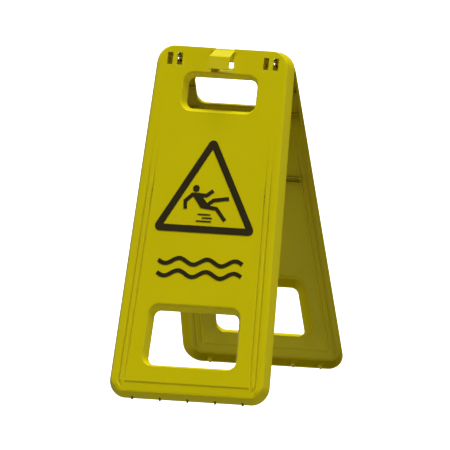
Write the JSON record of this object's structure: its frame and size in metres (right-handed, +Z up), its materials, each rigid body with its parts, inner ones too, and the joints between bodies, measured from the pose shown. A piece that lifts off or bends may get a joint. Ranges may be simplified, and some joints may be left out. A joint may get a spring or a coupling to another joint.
{
  "type": "wet floor sign",
  "caption": "Folding A-frame floor sign: two hinged moulded panels with carry openings, a hanging hook, feet and a slip-warning graphic.",
  "frame": {"origin": "on the floor, midway between the feet of the two panels, under the hinge axis", "axes": "+Z up, +X to the right as the front panel is read, and the front panel faces -Y"},
  "size_m": [0.2966, 0.418, 0.5966],
  "materials": {
    "moulded_yellow": "moulded polypropylene, satin to matte",
    "pin_nylon": "moulded nylon",
    "foot_rubber": "matte",
    "film_black": "satin cut film"
  },
  "bodies": {
    "front": {"front_panel": "moulded_yellow", "hinge_pin_left": "pin_nylon", "hinge_pin_right": "pin_nylon", "front_foot_1": "foot_rubber", "front_foot_2": "foot_rubber", "front_foot_3": "foot_rubber", "front_foot_4": "foot_rubber", "front_foot_5": "foot_rubber", "front_triangle": "film_black", "front_figure_head": "film_black", "front_figure_body": "film_black", "front_splash_1": "film_black", "front_splash_2": "film_black", "front_splash_3": "film_black", "front_wave_1": "film_black", "front_wave_2": "film_black"},
    "rear": {"rear_panel": "moulded_yellow", "rear_foot_1": "foot_rubber", "rear_foot_2": "foot_rubber", "rear_foot_3": "foot_rubber", "rear_foot_4": "foot_rubber", "rear_foot_5": "foot_rubber", "rear_triangle": "film_black", "rear_figure_head": "film_black", "rear_figure_body": "film_black", "rear_splash_1": "film_black", "rear_splash_2": "film_black", "rear_splash_3": "film_black", "rear_wave_1": "film_black", "rear_wave_2": "film_black"}
  },
  "joints": [
    {"name": "fold", "type": "hinge", "parent": "front", "child": "rear", "pos_m": [0, 0, 0.56858], "axis": [-1, 0, 0], "range_deg": [0, 38]}
  ]
}
